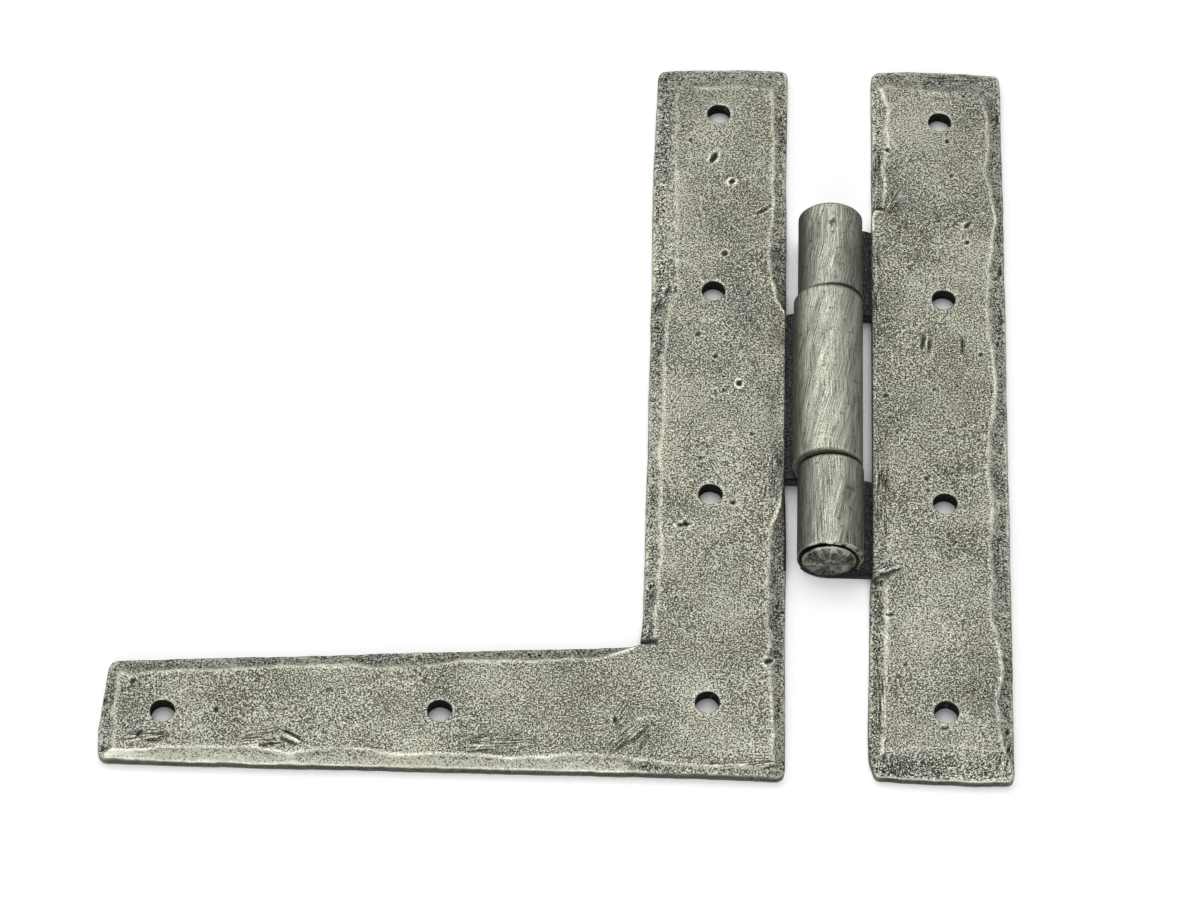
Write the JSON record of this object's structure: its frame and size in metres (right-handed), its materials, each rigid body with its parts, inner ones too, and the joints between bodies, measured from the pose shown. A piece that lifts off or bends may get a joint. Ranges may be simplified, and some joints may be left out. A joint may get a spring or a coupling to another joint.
{
  "type": "h-l hinge",
  "caption": "Hand-forged surface-mount door hinge: an L-shaped leaf with a long foot and a plain upright leaf, joined by rolled knuckles on a riveted pin.",
  "frame": {"origin": "middle of the hinge's outline, on the plane of the leaves' backs, with the hinge lying open and flat", "axes": "+X from the tip of the foot to the plain leaf, +Y up the leaves along the pin, +Z out of the front faces"},
  "size_m": [0.2352, 0.2294, 0.0189],
  "materials": {
    "leaf_steel": "hammered, dark patina rubbed back to pewter grey on the faces",
    "pin_steel": "hammered heads, dark patina rubbed back"
  },
  "bodies": {
    "l_side": {"l_leaf": "leaf_steel"},
    "plain_side": {"plain_leaf": "leaf_steel", "hinge_pin": "pin_steel"}
  },
  "joints": [
    {"name": "leaf_swing", "type": "hinge", "parent": "l_side", "child": "plain_side", "pos_m": [0.0692, 0, 0.00885], "axis": [0, -1, 0], "range_deg": [-98, 180]}
  ]
}
